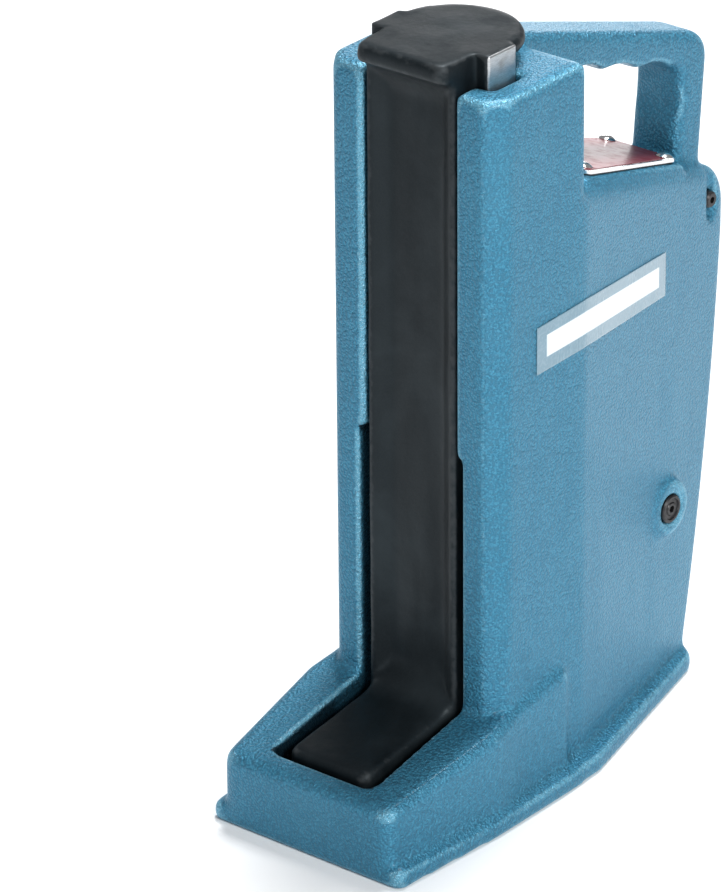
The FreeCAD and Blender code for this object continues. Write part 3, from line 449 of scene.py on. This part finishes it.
# maroon film on the cover, cloudy where it has faded and scuffed along its length
labelFinish = {"maroon": colour(0.150, 0.018, 0.026), "faded": colour(0.26, 0.075, 0.085),
               "fadedShare": 0.5, "scuff": colour(0.45, 0.34, 0.34), "scuffFrom": (0.60, 0.75), "scuffShare": 0.30,
               "roughness": 0.34, "smearRoughness": 0.14, "gloss": 0.35, "coat": 0.18,
               "coatRoughness": 0.12, "bump": (0.12, 0.00008)}


def labelFilm():
    material, t, surface, position = startMaterial("maroonFilm")
    f = labelFinish
    dust = useGroup(t, dustGroup, Position=position, Cloud_scale=60.0, Amount=1.0)
    grain = useGroup(t, grainGroup, Position=position, Stretch=(1.0, 7.0, 1.0), Scale=420.0)
    base = t.mix(t.times(dust["Mask"], f["fadedShare"]), f["maroon"], f["faded"])
    base = t.mix(t.times(t.band(grain["Height"], *f["scuffFrom"]), f["scuffShare"]), base, f["scuff"])
    t.put(base, surface.inputs["Base Color"])
    t.put(t.plus(t.times(dust["Smear"], f["smearRoughness"]), f["roughness"]), surface.inputs["Roughness"])
    surface.inputs["Specular IOR Level"].default_value = f["gloss"]
    surface.inputs["Coat Weight"].default_value = f["coat"]
    surface.inputs["Coat Roughness"].default_value = f["coatRoughness"]
    t.put(t.bump(grain["Height"], *f["bump"]), surface.inputs["Normal"])
    return material


paint = hammeredPaint()
forging = blackForging("forgingWithBareLugs", True)
plainForging = blackForging("blackForging", False)
maroon = labelFilm()
metals = {name: metalMaterial(name, *values) for name, values in metalFinishes.items()}
nodeFinish = {
    "base_plate": "zincSteel", "base_screws": "zincSteel", "ram_tube": "groundSteel",
    "ram_seal": "sealRubber", "gland_bush": "bearingBronze", "wiper_ring": "sealRubber",
    "spring_pin": "zincSteel",
    "spring_eye": "zincSteel", "return_spring": "springWire", "guide_strips": "bearingBronze",
    "pump_block": "machinedSteel", "pump_barrel": "machinedSteel", "pump_gland": "machinedSteel",
    "pump_plunger": "groundSteel", "plunger_pin": "zincSteel", "plunger_seal": "sealRubber",
    "valve_balls": "groundSteel", "delivery_plug": "machinedSteel", "suction_filter": "bearingBronze",
    "relief_valve": "machinedSteel", "release_valve_body": "blackOxide", "release_spindle": "blackOxide",
    "filler_plug": "blackOxide", "lever_pivot_screws": "blackOxide", "cover_gasket": "sealRubber",
    "reservoir_cover": "stainlessSheet", "cover_screws": "nickelDome"}


def dress(thing, material):
    if len(thing.data.materials) == 0:
        thing.data.materials.append(material)
    for place in range(len(thing.data.materials)):
        thing.data.materials[place] = material


for nodeName, finish in nodeFinish.items():
    dress(nodes[nodeName], metals[finish])
dress(nodes["lever_socket"], plainForging)
dress(nodes["cover_label"], maroon)
dress(nodes["body_casting"], paint)
dress(nodes["claw"], forging)
print("materials ready")

# softened skins of the casting and the forging: square size, smoothing passes, triangles kept,
# and a slow swell of the surface; crispBeyond is the half width and height past which it stays sharp
skins = {"castingSkin": {"node": "body_casting", "voxel": 0.00135, "passes": 9, "keep": 185000,
                         "swell": 0.0, "swellScale": 60.0},
         "forgingSkin": {"node": "claw", "voxel": 0.0011, "passes": 10, "keep": 150000,
                         "swell": 0.00016, "swellScale": 38.0, "crispBeyond": (0.0254, 0.345)}}
skinSettings = {"weld": 0.000005, "share": 0.5, "crispShare": 0.06, "bendPasses": 3, "bendGain": 9.0,
                "seed": 7}


def meshEdges(mesh):
    pairs = np.empty(len(mesh.edges) * 2, np.int32)
    mesh.edges.foreach_get("vertices", pairs)
    return pairs.reshape(-1, 2)


def meshPoints(mesh):
    flat = np.empty(len(mesh.vertices) * 3, np.float32)
    mesh.vertices.foreach_get("co", flat)
    return flat.reshape(-1, 3).astype(float)


def neighbourMean(values, pairs, counts):
    # mean over each point's neighbours: every edge counted in both directions, over how many there are
    total = np.empty_like(values)
    first, second = pairs[:, 0], pairs[:, 1]
    for axis in range(values.shape[1]):
        total[:, axis] = (np.bincount(first, values[second, axis], len(values))
                          + np.bincount(second, values[first, axis], len(values)))
    return total / counts[:, None]


def meshNormals(mesh):
    mesh.update()
    flat = np.empty(len(mesh.vertices) * 3, np.float32)
    mesh.vertex_normals.foreach_get("vector", flat)
    return flat.reshape(-1, 3).astype(float)


def waves(points, scale, seed):
    # smooth value from -1 to 1: mean of eight sine waves in fixed seeded directions
    dice = np.random.default_rng(seed)
    ways = dice.normal(size=(8, 3))
    ways /= np.linalg.norm(ways, axis=1)[:, None]
    lengths = scale * dice.uniform(0.6, 1.6, 8)
    starts = dice.uniform(0, 2 * math.pi, 8)
    return np.sin(points @ (ways * lengths[:, None]).T * 2 * math.pi + starts).mean(axis=1) * 1.6


def storeSpread(mesh, label, values):
    store = mesh.attributes.new(label, "FLOAT", "POINT")
    store.data.foreach_set("value", np.clip(values, 0.0, 1.0).astype(np.float32))


def softenedSkin(name, setup):
    # copy of a CAD node's mesh, remeshed to even squares, each point drawn towards its neighbours' mean
    common = skinSettings
    mesh = nodes[setup["node"]].data.copy()
    mesh.name = name
    piece = bpy.data.objects.new(name, mesh)
    scene.collection.objects.link(piece)
    weld = piece.modifiers.new("weld", "WELD")
    weld.merge_threshold = common["weld"]
    remesh = piece.modifiers.new("evenSquares", "REMESH")
    remesh.mode = "VOXEL"
    remesh.voxel_size = setup["voxel"]
    remesh.adaptivity = 0.0
    graph = bpy.context.evaluated_depsgraph_get()
    even = bpy.data.meshes.new_from_object(piece.evaluated_get(graph))
    piece.modifiers.clear()
    piece.data = even
    even.name = name
    pairs = meshEdges(even)
    points = meshPoints(even)
    counts = np.maximum(np.bincount(pairs.ravel(), minlength=len(points)), 1)
    share = np.full((len(points), 1), common["share"])
    if "crispBeyond" in setup:  # the ground ends of the lugs keep their corners
        reach, floor = setup["crispBeyond"]
        share[(np.abs(points[:, 0]) > reach) & (points[:, 2] > floor)] = common["crispShare"]
    for step in range(setup["passes"]):
        points += share * (neighbourMean(points, pairs, counts) - points)
    even.vertices.foreach_set("co", points.astype(np.float32).ravel())
    normals = meshNormals(even)
    # bend of the surface: how far a point stands out of its neighbours' mean, along the normal, smoothed
    bend = ((points - neighbourMean(points, pairs, counts)) * normals).sum(axis=1)[:, None]
    bend /= setup["voxel"]
    for step in range(common["bendPasses"]):
        bend = 0.5 * bend + 0.5 * neighbourMean(bend, pairs, counts)
    if setup["swell"]:
        heave = waves(points, setup["swellScale"], common["seed"])[:, None]
        points += normals * (heave * setup["swell"] - 0.5 * setup["swell"])
        even.vertices.foreach_set("co", points.astype(np.float32).ravel())
    storeSpread(even, "corner", bend[:, 0] * common["bendGain"])
    storeSpread(even, "gutter", -bend[:, 0] * common["bendGain"])
    triangles = 2 * len(even.polygons)
    if triangles > setup["keep"]:
        thin = piece.modifiers.new("thin", "DECIMATE")
        thin.ratio = setup["keep"] / triangles
        thin.use_collapse_triangulate = True
        graph = bpy.context.evaluated_depsgraph_get()
        light = bpy.data.meshes.new_from_object(piece.evaluated_get(graph))
        piece.modifiers.clear()
        piece.data = light
        light.name = name
    final = piece.data
    final.polygons.foreach_set("use_smooth", np.ones(len(final.polygons), bool))
    final.update()
    print(name, "squares", triangles // 2, "triangles", len(final.polygons))
    return piece


castingSkin = softenedSkin("castingSkin", skins["castingSkin"])
dress(castingSkin, paint)
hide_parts("body_casting")
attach(castingSkin, "frame")
forgingSkin = softenedSkin("forgingSkin", skins["forgingSkin"])
dress(forgingSkin, forging)
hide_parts("claw")
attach(forgingSkin, "claw")
print("skins ready")

# plain film on the casting's right side, bent over the crease where the tower meets the taper
sideFilm = {"stations": (-0.04155, -0.0046, 0.0802), "low": (0.2146, 0.2155, 0.2047),
            "high": (0.2377, 0.2391, 0.2268), "creaseY": -0.00515, "creaseSoft": 0.0022,
            "sideX": 0.0492, "taper": 0.2235, "stand": 0.00018, "thick": 0.00012,
            "columns": 160, "rows": 40}


def filmSurface(setup):
    # grid of (along, up): Y runs evenly from front to rear, Z between two edges that turn at the crease,
    # X is the casting's side at that Y, which bends smoothly at the crease, plus a thin stand-off
    columns, rows = setup["columns"], setup["rows"]
    along, up = np.meshgrid(np.linspace(0, 1, columns), np.linspace(0, 1, rows), indexing="ij")
    y = setup["stations"][0] + along * (setup["stations"][-1] - setup["stations"][0])
    low = np.interp(y, setup["stations"], setup["low"])
    high = np.interp(y, setup["stations"], setup["high"])
    z = low + up * (high - low)
    past = y - setup["creaseY"]
    x = setup["sideX"] - setup["taper"] * 0.5 * (past + np.sqrt(past * past + setup["creaseSoft"] ** 2))
    x += setup["stand"]
    points = np.stack([x, y, z], axis=-1).reshape(-1, 3)
    first = (np.arange(columns - 1)[:, None] * rows + np.arange(rows - 1)[None, :]).reshape(-1)
    faces = np.stack([first, first + rows, first + rows + 1, first + 1], axis=-1)
    mesh = bpy.data.meshes.new("sideFilm")
    mesh.from_pydata(points.tolist(), [], faces.tolist())
    store = mesh.uv_layers.new(name="film")
    corners = faces.reshape(-1)
    place = np.stack([along.reshape(-1)[corners], up.reshape(-1)[corners]], axis=-1)
    store.data.foreach_set("uv", place.ravel())
    mesh.polygons.foreach_set("use_smooth", np.ones(len(mesh.polygons), bool))
    piece = bpy.data.objects.new("sideFilm", mesh)
    scene.collection.objects.link(piece)
    wall = piece.modifiers.new("thickness", "SOLIDIFY")
    wall.thickness = setup["thick"]
    wall.offset = 1.0
    return piece


filmFinish = {"ground": colour(0.105, 0.205, 0.270), "cloudy": colour(0.16, 0.27, 0.34),
              "cloudyShare": 0.4, "block": colour(0.62, 0.68, 0.71), "blockAlong": (0.06, 0.94, 0.004),
              "blockUp": (0.28, 0.74, 0.015), "rim": colour(0.30, 0.42, 0.50), "rimHighlightShare": 0.12,
              "roughness": 0.24, "smearRoughness": 0.12, "coat": 0.5, "coatRoughness": 0.15,
              "bump": (0.35, 0.00030)}


def between(t, value, low, high, soft):
    rising = t.band(value, low - soft, low + soft)
    falling = t.maths("SUBTRACT", 1.0, t.band(value, high - soft, high + soft))
    return t.times(rising, falling)


def filmMaterial():
    # clear grey film with a plain white block on it, in the piece's own (along, up) measure
    material, t, surface, position = startMaterial("greyFilm")
    f = filmFinish
    place = t.add("ShaderNodeSeparateXYZ")
    t.put(t.add("ShaderNodeUVMap", uv_map="film").outputs[0], place.inputs[0])
    film = useGroup(t, hammerGroup, Position=position, Cell_size=paintFinish["cellSize"],
                    Unevenness=paintFinish["unevenness"])
    dust = useGroup(t, dustGroup, Position=position, Cloud_scale=30.0, Amount=1.0)
    block = t.times(between(t, place.outputs["X"], *f["blockAlong"]),
                    between(t, place.outputs["Y"], *f["blockUp"]))
    ground = t.mix(t.times(dust["Mask"], f["cloudyShare"]), f["ground"], f["cloudy"])
    base = t.mix(block, ground, f["block"])
    # painted highlight along the raised cell rims under the film
    base = t.mix(t.times(film["Rim"], f["rimHighlightShare"]), base, f["rim"])
    t.put(base, surface.inputs["Base Color"])
    t.put(t.plus(t.times(dust["Smear"], f["smearRoughness"]), f["roughness"]), surface.inputs["Roughness"])
    surface.inputs["Coat Weight"].default_value = f["coat"]
    surface.inputs["Coat Roughness"].default_value = f["coatRoughness"]
    t.put(t.bump(film["Height"], *f["bump"]), surface.inputs["Normal"])
    return material


filmPiece = filmSurface(sideFilm)
dress(filmPiece, filmMaterial())
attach(filmPiece, "frame")
print("side film ready")

for place in (cadBox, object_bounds()):
    print([[round(v, 4) for v in corner] for corner in place])
